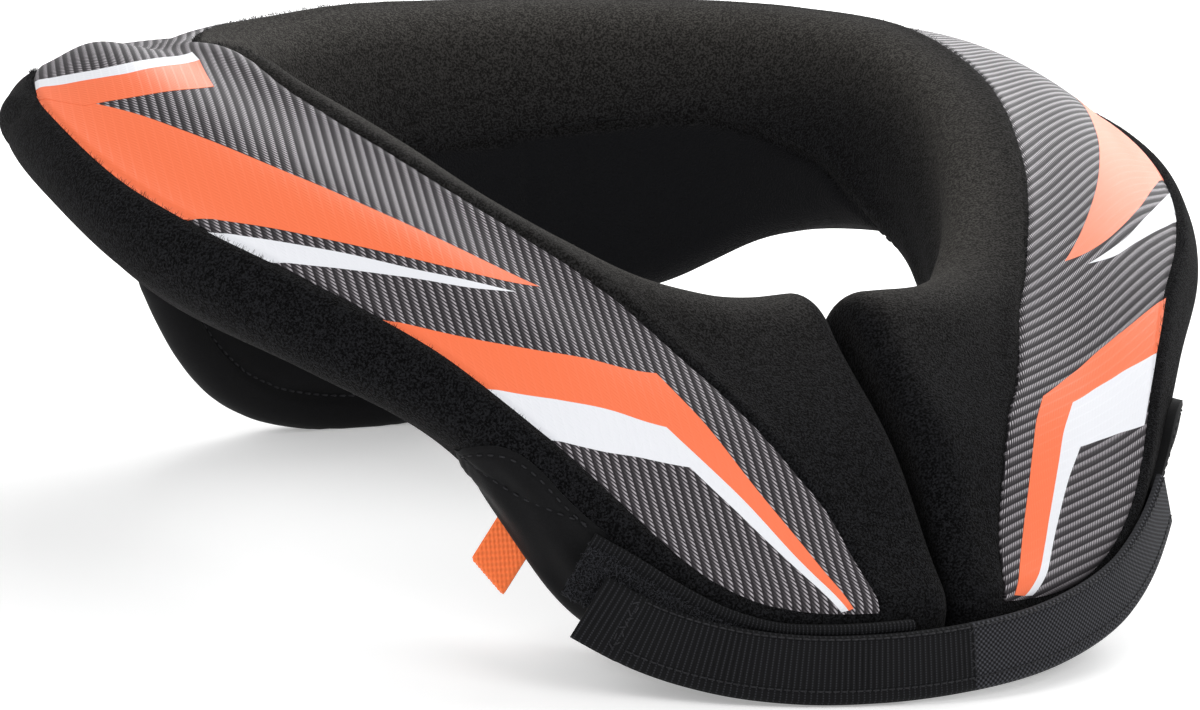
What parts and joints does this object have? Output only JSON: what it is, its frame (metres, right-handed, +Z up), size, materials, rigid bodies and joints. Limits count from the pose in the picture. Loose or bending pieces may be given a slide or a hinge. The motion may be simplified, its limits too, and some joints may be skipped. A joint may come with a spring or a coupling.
{
  "type": "motocross neck roll",
  "caption": "Padded ring-shaped neck roll for motocross, open at the front, with a woven upper panel, a rear lobe and a front closing strap.",
  "frame": {"origin": "bottom centre of the bounding box, on the surface that the collar rests on", "axes": "+Z up from that surface; the front slit and strap face -Y; +X is the wearer's left"},
  "size_m": [0.3038, 0.283, 0.117],
  "materials": {
    "fleece": "brushed black fleece over foam",
    "twill": "ribbed grey and black weave with orange and white printed stripes",
    "webbing": "ribbed black webbing",
    "loop_pile": "fuzzy black loop tape",
    "patch_cloth": "smooth black cloth with stitched edges",
    "ribbon": "orange basket-weave ribbon"
  },
  "bodies": {
    "root": {"collar_pad": "fleece", "top_panel": "twill", "back_flap": "fleece", "strap": "webbing", "loop_strip": "loop_pile", "patch_right": "patch_cloth", "patch_left": "patch_cloth", "pull_tab": "ribbon"}
  },
  "joints": []
}
